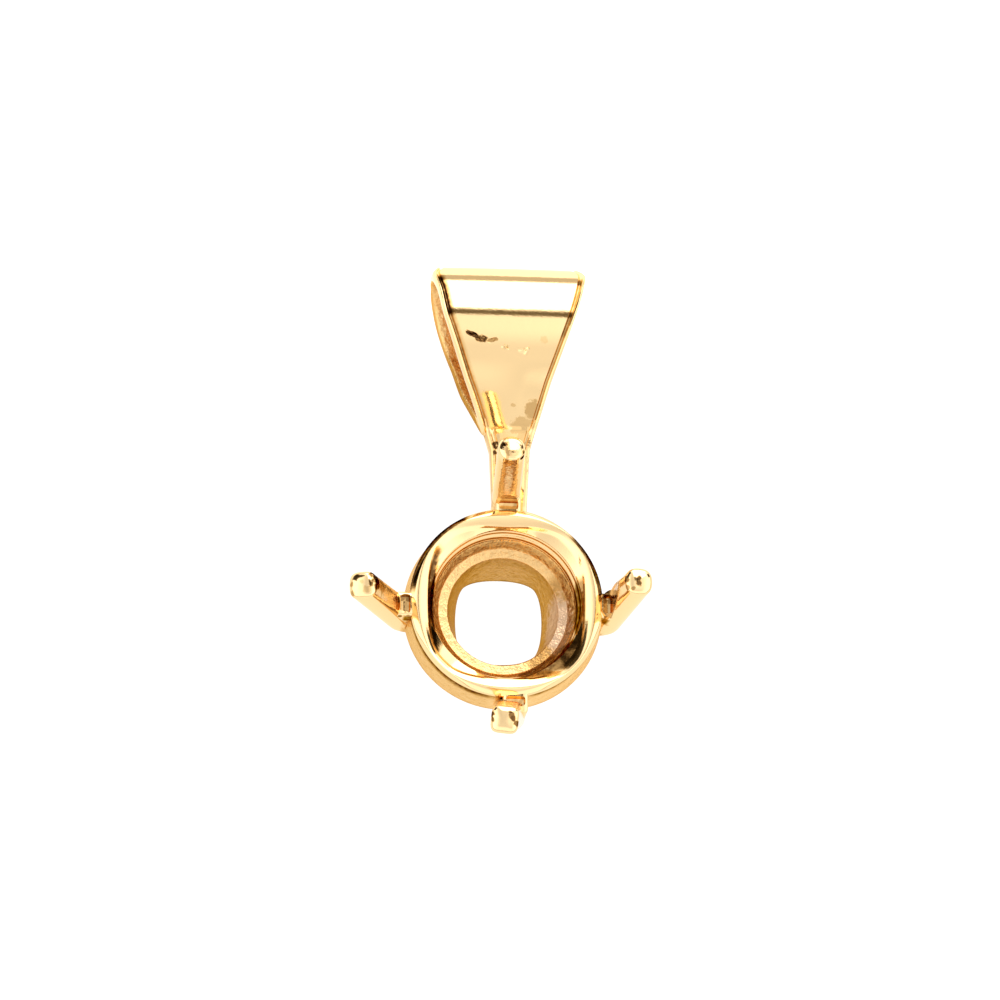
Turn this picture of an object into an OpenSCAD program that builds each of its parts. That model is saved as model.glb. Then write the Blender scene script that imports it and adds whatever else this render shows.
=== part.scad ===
// Pendant mount: an empty four-prong basket setting with a folded, tapered bail.
// It lies on its back: +Z runs up the axis of the setting, +Y points to the bail.
// The origin is the middle of the back opening, on the plane of the back face.

/* [Setting] */
// Height of the setting from its back face to the top of the front rail
setting_h = 2.84; // [2.6:0.02:3.2]
// Outer radius of the front rail, which the stone sits over
rail_r = 3.18; // [3.12:0.01:3.22]
// Rounding of the front rail's outer edge
rail_round = 0.2; // [0.1:0.02:0.24]
// Outer radius of the gallery rail, behind the front rail
gallery_r = 3.26; // [3.2:0.01:3.36]
// Height of the gallery rail's middle
gallery_z = 1.3; // [1.2:0.02:1.5]
// Radius of the gallery rail's round section
gallery_round = 0.38; // [0.3:0.02:0.45]
// Outer radius of the back ring
back_r = 2.25; // [2.2:0.05:2.5]

/* [Openings] */
// Radius of the mouth, inside the front rail
mouth_r = 2.92; // [2.8:0.02:2.94]
// Distance from the axis to each flat of the mouth
mouth_flat = 2.61; // [2.5:0.01:2.7]
// Height of the ledge inside the cup
ledge_z = 1.5; // [1.3:0.05:1.6]
// Radius at the ledge's outer edge
ledge_r = 2.12; // [2.05:0.01:2.2]
// Radius at the ledge's inner edge
throat_r = 1.81; // [1.75:0.01:1.9]
// Radius of the back opening
back_hole_r = 1.63; // [1.6:0.01:1.7]
// Distance from the axis to each flat of the back opening
back_hole_flat = 1.48; // [1.4:0.01:1.55]

/* [Prongs] */
// Thickness of a prong at its tip
prong_d = 0.9; // [0.8:0.02:1]
// Height of a prong's knee, where it turns forward
knee_z = 1; // [0.9:0.05:1.2]
// Radius that the seat cut leaves clear between the prongs
seat_r = 3.46; // [3.4:0.01:3.5]
// Width of the pocket cut between each prong and the front rail
pocket_w = 0.64; // [0.5:0.02:0.7]

/* [Bail] */
// Width of the bail at its fold
bail_w = 5.04; // [4.6:0.02:5.2]
// Width of the bail where it meets its neck
neck_w = 1.3; // [1.1:0.05:1.5]
// Thickness of the bail's strip
strip_t = 0.5; // [0.4:0.02:0.6]
// Outer radius of the fold at the top of the bail
fold_r = 2.03; // [1.9:0.01:2.2]
// Distance from the setting's axis to the middle of the fold
fold_y = 9.4; // [9.2:0.05:9.8]
// Distance from the setting's axis to the point where the strip closes
apex_y = 5.3; // [5.1:0.05:5.5]

/* [Hidden] */
$fn = 96;
slack = 1;
gold = [0.93, 0.72, 0.36];

// One row for each hand-bent prong: direction from the axis, sideways shift,
// radius to its knee, thickness there, outward splay, sideways lean and length
// [direction, shift, knee, girth, splay, lean, length]
PRONGS = [
    [  0,  0.00, 3.38, 1.10,  7.6,  0.0, 5.02],
    [ 90, -0.07, 3.22, 0.92, 16.4, -2.3, 4.68],
    [180,  0.12, 3.22, 0.94, 24.0,  0.0, 4.42],
    [270,  0.30, 3.24, 1.02, 18.2,  8.0, 4.62]
];

prong_r = prong_d / 2;
tip_round = 0.16;
knee_swell = 0.03;
foot_r = 1.8;
foot_z = 0.58;
pocket_in = rail_r - 0.02;
pocket_z = setting_h - 0.42;
seat_z = setting_h + 0.02;
seat_h = 4;
web_in = 2.95;
web_out = 3.58;
web_w = 0.84;
web_z = 1.2;
web_top = setting_h - 0.14;

lower_slope = atan((throat_r - back_hole_flat) / ledge_z);
cove_r = 2.37;
cove_z = ledge_z + 0.3;
lip_z = setting_h - 0.25;

half_angle = asin(fold_r / (fold_y - apex_y));
inner_fold_r = fold_r - strip_t;
inner_apex_y = apex_y + strip_t / sin(half_angle);
fold_taper_y = fold_y + 0.5;
shoulder_y = apex_y + 0.8;
shoulder_w = 1.87;
neck_t = 0.96;
neck_rise = 0.09;
neck_front_z = fold_r + 0.03;
neck_end_y = 3.05;
neck_end_w = 1.1;
neck_shift = 0.17;

// Outline of half the setting's section, filled in to the axis
module setting_section() {
    foot_h = 0.42;
    waist_r = gallery_r - 0.3;
    polygon([
        [0, 0], [back_r - 0.08, 0], [back_r, 0.08], [back_r, foot_h],
        [gallery_r - gallery_round + 0.02, gallery_z - gallery_round + 0.02],
        [waist_r, gallery_z], [rail_r - 0.14, gallery_z + gallery_round],
        [rail_r - 0.1, setting_h - 2 * rail_round - 0.06],
        [rail_r, setting_h - rail_round - 0.06], [rail_r, setting_h - rail_round],
        [rail_r - rail_round, setting_h], [0, setting_h]
    ]);
    translate([gallery_r - gallery_round, gallery_z]) circle(gallery_round);
    translate([rail_r - rail_round, setting_h - rail_round]) circle(rail_round);
}

// Outline of half the hollow: throat, ledge, cove and mouth
module hollow_section() {
    polygon([
        [0, -slack], [back_hole_r, -slack], [back_hole_r, 0],
        [throat_r + 0.04, ledge_z], [ledge_r, ledge_z], [cove_r, cove_z],
        [mouth_r, lip_z], [mouth_r, setting_h + slack], [0, setting_h + slack]
    ]);
}

// Four blocks that leave flat sides on a hollow, between two heights
module flat_sides(distance, slope, low, high) {
    reach = 3;
    for (side = [0 : 90 : 270])
        rotate(side) translate([distance, 0, 0]) rotate([0, slope, 0])
            translate([0, -reach, low]) cube([reach, 2 * reach, high - low]);
}

module hollow() {
    difference() {
        rotate_extrude() hollow_section();
        intersection() {
            flat_sides(back_hole_flat, lower_slope, -2 * slack, ledge_z + slack);
            translate([0, 0, -slack]) cylinder(h = ledge_z + slack, r = throat_r + slack);
        }
        flat_sides(mouth_flat, 0, cove_z, setting_h + 2 * slack);
    }
}

module cup() {
    color(gold) rotate_extrude() setting_section();
}

// A tapered round bar along +Z with a softly rounded end
module prong_bar(girth, length) {
    rotate_extrude() {
        polygon([
            [0, 0], [girth / 2, 0], [prong_r, length - tip_round],
            [prong_r - tip_round, length], [0, length]
        ]);
        translate([prong_r - tip_round, length - tip_round]) circle(tip_round);
    }
}

// The prong's lower end, from the back ring out to the knee
module prong_foot(knee_r, girth) {
    run = [knee_r - foot_r, knee_z - foot_z];
    translate([foot_r, 0, foot_z]) rotate([0, atan2(run.x, run.y), 0])
        cylinder(h = norm(run), d = girth);
    translate([knee_r, 0, knee_z]) sphere(d = girth + 2 * knee_swell);
}

// The cast web that joins a prong to both rails
module prong_web() {
    translate([web_in, -web_w / 2, web_z]) cube([web_out - web_in, web_w, web_top - web_z]);
}

module prong(shift, knee_r, girth, splay, lean, length) {
    color(gold) translate([0, shift, 0]) {
        translate([knee_r, 0, knee_z]) rotate([lean, splay, 0]) prong_bar(girth, length);
        prong_foot(knee_r, girth);
        prong_web();
    }
}

// The pocket between a prong and the front rail, open to the seat cut
module seat_pocket(shift) {
    translate([pocket_in, shift - pocket_w / 2, pocket_z])
        cube([seat_r - pocket_in, pocket_w, seat_z + slack - pocket_z]);
}

// The round seat cut that clears the stone's edge from the prongs
module seat_cut() {
    translate([0, 0, seat_z]) cylinder(h = seat_h, r = seat_r);
}

// Side view of a teardrop: a circle drawn out to a point on the axis of the strip
module teardrop(radius, point_y) {
    angle = asin(radius / (fold_y - point_y));
    along = fold_y - radius * sin(angle);
    across = radius * cos(angle);
    translate([fold_y, fold_r]) circle(radius);
    polygon([[point_y, fold_r], [along, fold_r - across], [along, fold_r + across]]);
}

// Front view of the strip: straight across the fold, then tapered to the neck,
// which sits a little to one side
module bail_outline() {
    // [distance along Y, width, sideways shift]
    rows = [
        [neck_end_y - slack, neck_end_w, neck_shift],
        [neck_end_y, neck_end_w, neck_shift],
        [apex_y, neck_w, neck_shift],
        [shoulder_y, shoulder_w, neck_shift / 2],
        [fold_taper_y, bail_w - 0.48, 0],
        [fold_taper_y + 1, bail_w - 0.04, 0],
        [fold_y + fold_r + slack, bail_w, 0]
    ];
    last = len(rows) - 1;
    polygon(concat(
        [for (row = rows) [row[2] + row[1] / 2, row[0]]],
        [for (i = [last : -1 : 0]) [rows[i][2] - rows[i][1] / 2, rows[i][0]]]
    ));
}

// The neck's side view: both ends of the strip closed against each other,
// flat behind and sloping gently down to the setting in front
module neck_side() {
    back_z = fold_r - neck_t / 2;
    top_y = inner_apex_y - 0.2;
    polygon([
        [neck_end_y, back_z], [top_y, back_z],
        [top_y, neck_front_z + neck_rise * (top_y - neck_end_y)], [neck_end_y, neck_front_z]
    ]);
}

// Stands a side view, drawn as Y and Z, across the bail's width
module across_width() {
    translate([-bail_w, 0, 0]) rotate([90, 0, 90]) linear_extrude(2 * bail_w) children();
}

module bail() {
    color(gold) intersection() {
        across_width() {
            difference() {
                teardrop(fold_r, apex_y);
                teardrop(inner_fold_r, inner_apex_y);
            }
            neck_side();
        }
        translate([0, 0, -slack]) linear_extrude(2 * fold_r + 2 * slack) bail_outline();
    }
}

// The whole mount: cast setting and bail, soldered into one body
module pendant_mount() {
    difference() {
        union() {
            cup();
            for (row = PRONGS)
                rotate(row[0]) prong(row[1], row[2], row[3], row[4], row[5], row[6]);
            bail();
        }
        hollow();
        seat_cut();
        for (row = PRONGS) rotate(row[0]) seat_pocket(row[1]);
    }
}

pendant_mount();
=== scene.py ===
import math

import bmesh
import bpy
from mathutils import Matrix, Vector, bvhtree, noise


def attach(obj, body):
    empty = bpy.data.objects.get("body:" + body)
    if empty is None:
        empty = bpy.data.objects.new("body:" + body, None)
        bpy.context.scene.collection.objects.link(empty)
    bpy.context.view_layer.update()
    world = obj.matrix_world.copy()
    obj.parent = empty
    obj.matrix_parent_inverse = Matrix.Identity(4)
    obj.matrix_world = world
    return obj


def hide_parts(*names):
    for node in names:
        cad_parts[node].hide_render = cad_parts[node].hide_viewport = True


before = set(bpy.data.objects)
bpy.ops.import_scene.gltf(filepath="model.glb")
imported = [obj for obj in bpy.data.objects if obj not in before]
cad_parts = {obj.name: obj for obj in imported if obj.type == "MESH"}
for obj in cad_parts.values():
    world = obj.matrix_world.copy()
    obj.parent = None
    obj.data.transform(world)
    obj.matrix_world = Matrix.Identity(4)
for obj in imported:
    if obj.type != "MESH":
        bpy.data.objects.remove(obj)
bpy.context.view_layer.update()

mm = 0.001  # every size below is in millimetres, as a jeweller gives it


# Node helpers


def startTree(name, sizes):
    tree = bpy.data.node_groups.new(name, "GeometryNodeTree")
    face = tree.interface
    face.new_socket("Geometry", in_out="INPUT", socket_type="NodeSocketGeometry")
    for label, value in sizes.items():
        socket = face.new_socket(label, in_out="INPUT", socket_type="NodeSocketFloat")
        socket.default_value = value
    face.new_socket("Geometry", in_out="OUTPUT", socket_type="NodeSocketGeometry")
    return tree, tree.nodes.new("NodeGroupInput").outputs


def addNode(tree, kind, wires, **settings):
    made = tree.nodes.new(kind)
    for name, value in settings.items():
        setattr(made, name, value)
    for key, value in wires.items():
        if isinstance(value, bpy.types.NodeSocket):
            tree.links.new(value, made.inputs[key])
        else:
            made.inputs[key].default_value = value
    return made


def calc(tree, operation, *values):
    wires = dict(enumerate(values))
    return addNode(tree, "ShaderNodeMath", wires, operation=operation).outputs[0]


def product(tree, first, *others):
    for value in others:
        first = calc(tree, "MULTIPLY", first, value)
    return first


def vectorCalc(tree, operation, wires):
    return addNode(tree, "ShaderNodeVectorMath", wires, operation=operation).outputs[0]


def measure(tree, operation, wires):
    # a length or a distance, as one number
    return addNode(tree, "ShaderNodeVectorMath", wires, operation=operation).outputs["Value"]


def combine(tree, x, y, z):
    return addNode(tree, "ShaderNodeCombineXYZ", {0: x, 1: y, 2: z}).outputs[0]


def separate(tree, vector):
    return addNode(tree, "ShaderNodeSeparateXYZ", {0: vector}).outputs


def smoothStep(tree, value, low, high):
    wires = {"Value": value, "From Min": low, "From Max": high}
    made = addNode(tree, "ShaderNodeMapRange", wires, interpolation_type="SMOOTHSTEP")
    return made.outputs[0]


def straightStep(tree, value, low, high, first, last):
    wires = {"Value": value, "From Min": low, "From Max": high, "To Min": first, "To Max": last}
    return addNode(tree, "ShaderNodeMapRange", wires).outputs[0]


def mixValue(tree, a, b, share):
    first = calc(tree, "MULTIPLY", a, calc(tree, "SUBTRACT", 1, share))
    return calc(tree, "ADD", first, calc(tree, "MULTIPLY", b, share))


def movedTo(tree, geometry, position):
    wires = {"Geometry": geometry, "Position": position}
    return addNode(tree, "GeometryNodeSetPosition", wires).outputs[0]


def endTree(tree, geometry, material):
    realize = addNode(tree, "GeometryNodeRealizeInstances", {0: geometry})
    coat = addNode(tree, "GeometryNodeSetMaterial", {0: realize.outputs[0]})
    coat.inputs["Material"].default_value = material
    addNode(tree, "NodeGroupOutput", {0: coat.outputs[0]})


def bakedMesh(host, modifier):
    # the mesh as the modifier shapes it, with the modifier taken off again
    shaped = host.evaluated_get(bpy.context.evaluated_depsgraph_get())
    mesh = bpy.data.meshes.new_from_object(shaped)
    host.modifiers.remove(modifier)
    return mesh


def runTree(host, tree, sizes):
    modifier = host.modifiers.new("shape", "NODES")
    modifier.node_group = tree
    for item in tree.interface.items_tree:
        if item.item_type == "SOCKET" and item.in_out == "INPUT" and item.name in sizes:
            modifier[item.identifier] = sizes[item.name]
    return bakedMesh(host, modifier)


# Mesh helpers

seamGap = 0.002  # points closer than this are joined


def newObject(name, data):
    made = bpy.data.objects.new(name, data)
    bpy.context.scene.collection.objects.link(made)
    return made


def closeAndTurnOut(mesh):
    work = bmesh.new()
    work.from_mesh(mesh)
    bmesh.ops.remove_doubles(work, verts=work.verts, dist=seamGap)
    bmesh.ops.recalc_face_normals(work, faces=work.faces)
    work.to_mesh(mesh)
    work.free()


def ringedMesh(name, rings, endless):
    # rings of points joined in a row, endless or with both ends filled
    count, last = len(rings[0]), len(rings) - 1
    points = [p for ring in rings for p in ring]
    faces = []
    if not endless:
        faces = [tuple(range(count)), tuple(range(len(points) - 1, last * count - 1, -1))]
    for i in range(len(rings) if endless else last):
        here, there = i * count, (i + 1) % len(rings) * count
        for k in range(count):
            n = (k + 1) % count
            faces.append((here + k, there + k, there + n, here + n))
    mesh = bpy.data.meshes.new(name)
    mesh.from_pydata(points, [], faces)
    closeAndTurnOut(mesh)
    return mesh


def turnedMesh(name, sectionAt, steps):
    # a closed section of radii and heights carried round the axis
    rings = []
    for i in range(steps):
        angle = 2 * math.pi * i / steps
        across, along = math.cos(angle), math.sin(angle)
        rings.append([(r * across, r * along, z) for r, z in sectionAt(angle)])
    return ringedMesh(name, rings, True)


def outlineMesh(name, points):
    mesh = bpy.data.meshes.new(name)
    count = len(points)
    mesh.from_pydata(points, [(i, (i + 1) % count) for i in range(count)], [])
    return mesh


def fuse(host, parts, operation):
    for part in parts:
        modifier = host.modifiers.new("fuse", "BOOLEAN")
        modifier.operation = operation
        modifier.solver = "MANIFOLD"
        modifier.object = part
        host.data = bakedMesh(host, modifier)
        bpy.data.objects.remove(part)


def roundedBlock(name, low, high, rounding, spacing):
    # a box of even quads whose edges are rounded
    low, high = Vector(low), Vector(high)
    middle, half = (low + high) / 2, (high - low) / 2
    mesh = bpy.data.meshes.new(name)
    work = bmesh.new()
    bmesh.ops.create_cube(work, size=2)
    for axis in range(3):
        cuts = max(2, int(2 * half[axis] / spacing)) - 1
        chosen = [e for e in work.edges if abs((e.verts[0].co - e.verts[1].co)[axis]) > 1e-6]
        bmesh.ops.subdivide_edges(work, edges=chosen, cuts=cuts, use_grid_fill=True)
    for vert in work.verts:
        spot = Vector(vert.co[i] * half[i] for i in range(3))
        core = Vector(max(-half[i] + rounding, min(half[i] - rounding, spot[i])) for i in range(3))
        out = spot - core
        if out.length > 0:
            spot = core + out.normalized() * rounding
        vert.co = middle + spot
    work.to_mesh(mesh)
    work.free()
    closeAndTurnOut(mesh)
    mesh.materials.append(gold)
    return newObject(name, mesh)


# Helpers for tables, outlines and masks


def softMin(a, b, reach):
    h = max(reach - abs(a - b), 0) / reach
    return min(a, b) - h * h * reach / 4


def softMax(a, b, reach):
    return -softMin(-a, -b, reach)


def smoothShare(value, low, high):
    # 0 at low and 1 at high, whichever of the two is larger
    share = min(max((value - low) / (high - low), 0), 1)
    return share * share * (3 - 2 * share)


def between(angle, start, end, soft=8):
    return smoothShare(angle, start - soft, start) * smoothShare(angle, end + soft, end)


def named(names, rows):
    # gives every value in a row its name
    return [dict(zip(names, row)) for row in rows]


def span(start, end, count):
    # evenly spaced points from start toward end, without the end itself
    return [tuple(a + (b - a) * i / count for a, b in zip(start, end)) for i in range(count)]


def arc(centre, radius, fromAngle, toAngle, count):
    points = []
    for i in range(count):
        angle = math.radians(fromAngle + (toAngle - fromAngle) * i / count)
        points.append((centre[0] + radius * math.cos(angle), centre[1] + radius * math.sin(angle)))
    return points


# The gold: polished and cast skin, with painted shade, painted dark reflections, darker marks and a pale
# patch

# castSkin and castEdge are the dull cast finish, painted a deeper gold for light that bounces in recesses;
# the darkest colour is used for painted shade, painted dark reflections and the bail's darker marks
goldLook = {
    "polished": (0.98, 0.70, 0.36),
    "castSkin": (0.88, 0.58, 0.26),
    "shadeAndTarnish": (0.11, 0.052, 0.017),
    "polishedEdge": (1.0, 0.9, 0.72),
    "castEdge": (0.75, 0.48, 0.2),
    "polishedRoughness": 0.09,
    "castRoughness": 0.34,
    "roughnessChange": 0.05,
    "bumpStrength": 0.35,
    "bumpDepth": 0.0001,
}
# marks on the front of the bail, dents and darker patches: place from the setting's axis, half sizes,
# turn, depth and darkness
bailMarks = named(
    ("x", "y", "length", "width", "turn", "depth", "stain"),
    [
        (-1.24, 8.72, 0.27, 0.08, -20, 0.05, 1.0),
        (-0.95, 8.6, 0.22, 0.11, -4, 0.05, 0.95),
        (-0.6, 8.57, 0.2, 0.07, 4, 0.02, 0.65),
        (1.1, 8.6, 0.13, 0.13, 0, 0, 0.16),
        (-0.12, 8.36, 0.07, 0.05, 0, 0.008, 0.3),
        (0.48, 8.3, 0.06, 0.04, 0, 0.003, 0.1),
        (0.2, 6.66, 0.08, 0.06, 0, 0, 0.3),
        (0.84, 6.55, 0.25, 0.33, -30, 0, 0.46),
        (0.52, 6.1, 0.42, 0.27, 25, 0, 0.33),
        (0.6, 5.75, 0.22, 0.35, 0, 0, 0.3),
        (-0.26, 4.4, 0.07, 0.42, 0, 0, 0.4),
    ],
)
# dark spots painted as shade and dark reflections at the prongs' tips, beside the top prong and in the
# pockets: x, y, z, radius, strength
paintedDarkSpots = [
    (-4.53, 0.18, 4.99, 0.16, 1), (-4.52, 0.02, 5.02, 0.16, 1), (-4.5, -0.14, 4.97, 0.15, 0.9),
    (-4.27, 0.1, 4.42, 0.22, 0.45), (-4.26, -0.14, 4.44, 0.2, 0.4), (-5.27, -0.4, 4.86, 0.1, 0.55),
    (-5.32, -0.12, 4.88, 0.08, 0.6), (-5.15, 0.2, 4.95, 0.07, 0.5), (-4.82, -0.33, 5.12, 0.11, 0.3),
    (-5.0, -0.06, 5.08, 0.06, 0.25), (3.98, 0.06, 5.99, 0.09, 0.95), (3.98, -0.1, 5.99, 0.09, 0.95),
    (3.6, 0.05, 5.87, 0.12, 0.9), (3.63, -0.22, 5.87, 0.08, 0.65), (3.82, -0.28, 5.95, 0.07, 0.6),
    (-0.72, -4.43, 5.2, 0.1, 0.95), (-0.72, -4.6, 5.2, 0.08, 0.9), (-0.12, -4.48, 5.4, 0.1, 0.85),
    (-0.04, -4.62, 5.36, 0.1, 0.95), (0.07, -4.75, 5.25, 0.12, 0.9), (-0.3, 4.59, 5.44, 0.09, 0.95),
    (0.22, 4.36, 5.45, 0.09, 0.95), (0.24, 4.22, 5.36, 0.09, 0.95), (-0.33, 5.5, 2.27, 0.09, 1),
    (-0.33, 5.36, 2.27, 0.1, 1), (-0.33, 5.22, 2.27, 0.09, 1),
    (-3.38, 0.12, 2.43, 0.1, 0.8), (-3.22, 0.12, 2.43, 0.1, 0.8), (-3.48, -0.5, 2.6, 0.08, 0.75),
    (-3.22, -0.5, 2.62, 0.07, 0.7), (3.28, 0.22, 2.45, 0.11, 0.85), (3.42, 0.2, 2.45, 0.1, 0.85),
    (3.2, 0.04, 2.45, 0.08, 0.75), (3.2, -0.14, 2.45, 0.08, 0.7),
    (-4.67, 0.2, 5.18, 0.11, 0.95), (-4.66, 0.05, 5.22, 0.11, 1), (-4.66, -0.12, 5.22, 0.11, 0.95),
    (-4.44, 0.2, 4.82, 0.13, 0.9), (-4.43, 0.04, 4.84, 0.14, 0.9), (-4.43, -0.14, 4.84, 0.13, 0.8),
]
# a pale patch on the right of the throat: its middle, and how far it reaches each way
palePatch = {
    "middle": (1.85, -0.45, 1.2),
    "reach": (0.5, 1.1, 0.9),
    "colour": (0.78, 0.6, 0.48),
    "share": 0.45,
}


def mixColour(tree, a, b, share):
    # a Mix node keeps its colours in sockets 6 and 7 and gives them out in 2
    made = addNode(tree, "ShaderNodeMix", {"Factor": share}, data_type="RGBA")
    for socket, value in zip((made.inputs[6], made.inputs[7]), (a, b)):
        if isinstance(value, bpy.types.NodeSocket):
            tree.links.new(value, socket)
        else:
            socket.default_value = (*value, 1)
    return made.outputs[2]


def startMaterial(name):
    material = bpy.data.materials.new(name)
    material.use_nodes = True
    tree = material.node_tree
    return material, tree, tree.nodes["Principled BSDF"].inputs


def spotOf(tree):
    # the place on the piece, in millimetres
    place = addNode(tree, "ShaderNodeTexCoord", {}).outputs["Object"]
    return vectorCalc(tree, "SCALE", {0: place, "Scale": 1 / mm})


def cloudsOf(tree, spot, scale, detail):
    wires = {"Vector": spot, "Scale": scale, "Detail": detail}
    return addNode(tree, "ShaderNodeTexNoise", wires).outputs["Fac"]


def attributeOf(tree, name):
    return addNode(tree, "ShaderNodeAttribute", {}, attribute_name=name).outputs["Fac"]


def markShare(tree, mark, across, along, ragged):
    # 1 inside an ellipse with a ragged edge, 0 outside it
    turn = math.radians(mark["turn"])
    right = calc(tree, "SUBTRACT", across, mark["x"])
    up = calc(tree, "SUBTRACT", along, mark["y"])
    reach = ragged
    for x, y, size in (
        (math.cos(turn), math.sin(turn), mark["length"]),
        (-math.sin(turn), math.cos(turn), mark["width"]),
    ):
        offset = product(tree, right, x / size)
        offset = calc(tree, "ADD", offset, product(tree, up, y / size))
        reach = calc(tree, "MULTIPLY_ADD", offset, offset, reach)
    return product(tree, smoothStep(tree, reach, 1.3, 0.6), mark["stain"])


def darkSpotShare(tree, spot, ragged):
    across, along, height = separate(tree, spot)
    stain = 0
    for mark in bailMarks:
        stain = calc(tree, "MAXIMUM", stain, markShare(tree, mark, across, along, ragged))
    # the bail's marks lie on the front of the strip only
    stain = product(tree, stain, smoothStep(tree, height, 2.1, 2.18))
    # painted shade and dark reflections, as round spots
    for x, y, z, radius, strength in paintedDarkSpots:
        away = measure(tree, "DISTANCE", {0: spot, 1: (x, y, z)})
        reach = calc(tree, "MULTIPLY_ADD", away, 1 / radius, product(tree, ragged, 0.9))
        shaded = product(tree, smoothStep(tree, reach, 1.3, 0.75), strength)
        stain = calc(tree, "MAXIMUM", stain, shaded)
    return stain


def palePatchShare(tree, spot, ragged):
    offset = vectorCalc(tree, "SUBTRACT", {0: spot, 1: palePatch["middle"]})
    offset = vectorCalc(tree, "DIVIDE", {0: offset, 1: palePatch["reach"]})
    away = calc(tree, "MULTIPLY_ADD", ragged, 0.3, measure(tree, "LENGTH", {0: offset}))
    return product(tree, smoothStep(tree, away, 1.2, 0.7), palePatch["share"])


def polishedGold():
    material, tree, shader = startMaterial("polishedGold")
    shader["Metallic"].default_value = 1
    spot = spotOf(tree)
    skin = attributeOf(tree, "castSkin")
    grain = cloudsOf(tree, spot, 6, 4)
    ragged = product(tree, calc(tree, "SUBTRACT", grain, 0.5), 3)
    # painted shade and the bail's darker marks, mottled by the grain
    shadeAndMarks = product(tree, attributeOf(tree, "shadeAndTarnish"), calc(tree, "MULTIPLY_ADD", grain, 0.9, 0.55))
    shadeAndMarks = calc(tree, "MAXIMUM", shadeAndMarks, darkSpotShare(tree, spot, ragged))
    shadeAndMarks = calc(tree, "MINIMUM", shadeAndMarks, 1)
    darkened = calc(tree, "POWER", shadeAndMarks, 1.3)
    patched = palePatchShare(tree, spot, ragged)
    # the cast skin is painted a deeper gold for light that bounces between recessed faces, and painted
    # shade, painted dark reflections and the bail's darker marks darken it
    colour = mixColour(tree, goldLook["polished"], goldLook["castSkin"], skin)
    deeper = calc(tree, "MULTIPLY_ADD", shadeAndMarks, 0.8, 1)
    colour = addNode(tree, "ShaderNodeGamma", {"Color": colour, "Gamma": deeper}).outputs[0]
    dulled = calc(tree, "MAXIMUM", skin, shadeAndMarks)
    edge = mixColour(tree, goldLook["polishedEdge"], goldLook["castEdge"], dulled)
    for tint, socket in ((colour, "Base Color"), (edge, "Specular Tint")):
        tint = mixColour(tree, tint, goldLook["shadeAndTarnish"], darkened)
        tint = mixColour(tree, tint, palePatch["colour"], patched)
        tree.links.new(tint, shader[socket])
    rough = mixValue(tree, goldLook["polishedRoughness"], goldLook["castRoughness"], skin)
    uneven = calc(tree, "SUBTRACT", cloudsOf(tree, spot, 1.3, 2), 0.5)
    rough = calc(tree, "MULTIPLY_ADD", uneven, goldLook["roughnessChange"], rough)
    tree.links.new(rough, shader["Roughness"])
    # polished faces are almost smooth, cast ones are lumpy with a fine grain
    relief = calc(tree, "MULTIPLY_ADD", cloudsOf(tree, spot, 3.5, 2), 3, cloudsOf(tree, spot, 14, 5))
    relief = product(tree, relief, calc(tree, "MULTIPLY_ADD", skin, 0.6, 0.02))
    wires = {"Height": relief, "Strength": goldLook["bumpStrength"], "Distance": goldLook["bumpDepth"]}
    tree.links.new(addNode(tree, "ShaderNodeBump", wires).outputs[0], shader["Normal"])
    return material


gold = polishedGold()


# The cup: a closed section carried round the axis, with flats inside

cup = {
    "height": 2.84,
    "railOuter": 3.18,
    "railDrop": 0.15,
    "mouthCircle": 2.92,
    "mouthFlat": 2.61,
    "bevelRadius": 2.5,
    "bevelHeight": 2.5,
    "holeCircle": 1.63,
    "holeFlat": 1.48,
    "holeRound": 0.07,
    "throat": 1.81,
    "ledgeHeight": 1.5,
    "ledgeOuter": 2.12,
    "ledgeRound": 0.05,
    "coveOuter": 2.35,
    "coveHeight": 1.8,
    "skirtRadius": 3.27,
    "skirtHeight": 1.38,
    "skirtRound": 0.32,
    "footRadius": 2.25,
    "footHeight": 0.38,
    "footRound": 0.08,
    "cornerSoftness": 0.5,
    "ridges": 2,
    "ridge": 0.012,
    "stepsRound": 240,
}


def flatSided(angle, circle, flat):
    side = flat / max(abs(math.cos(angle)), abs(math.sin(angle)))
    return softMin(circle, side, cup["cornerSoftness"])


def ridgedWall(low, high):
    # faint turning ridges left in the wall of the hollow
    points = []
    for i, (radius, height) in enumerate(span(low, high, 28)):
        wave = math.sin(math.pi * i * cup["ridges"] / 14)
        points.append((radius + cup["ridge"] * wave, height))
    return points


def railPoints(mouth):
    # over the rounded front rail, from the mouth to the rail's outer edge
    outer, drop = cup["railOuter"], cup["railDrop"]
    edge = cup["height"] - drop
    crest = (mouth + outer) / 2 + 0.02
    innerDrop = min(0.5 * (crest - mouth), drop)
    points = span((cup["bevelRadius"], cup["bevelHeight"]), (mouth, cup["height"] - innerDrop - 0.05), 5)
    for i in range(8):
        turn = 1 - i / 8
        points.append((crest - (crest - mouth) * turn, cup["height"] - innerDrop * turn**1.4))
    for i in range(11):
        turn = i / 10
        points.append((crest + (outer - 0.03 - crest) * turn, cup["height"] - drop * turn**1.6))
    points += [(outer - 0.005, edge - 0.045), (outer, edge - 0.1), (outer - 0.02, edge - 0.16)]
    return points + span((outer - 0.07, edge - 0.2), (outer - 0.13, edge - 0.28), 2)


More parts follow.
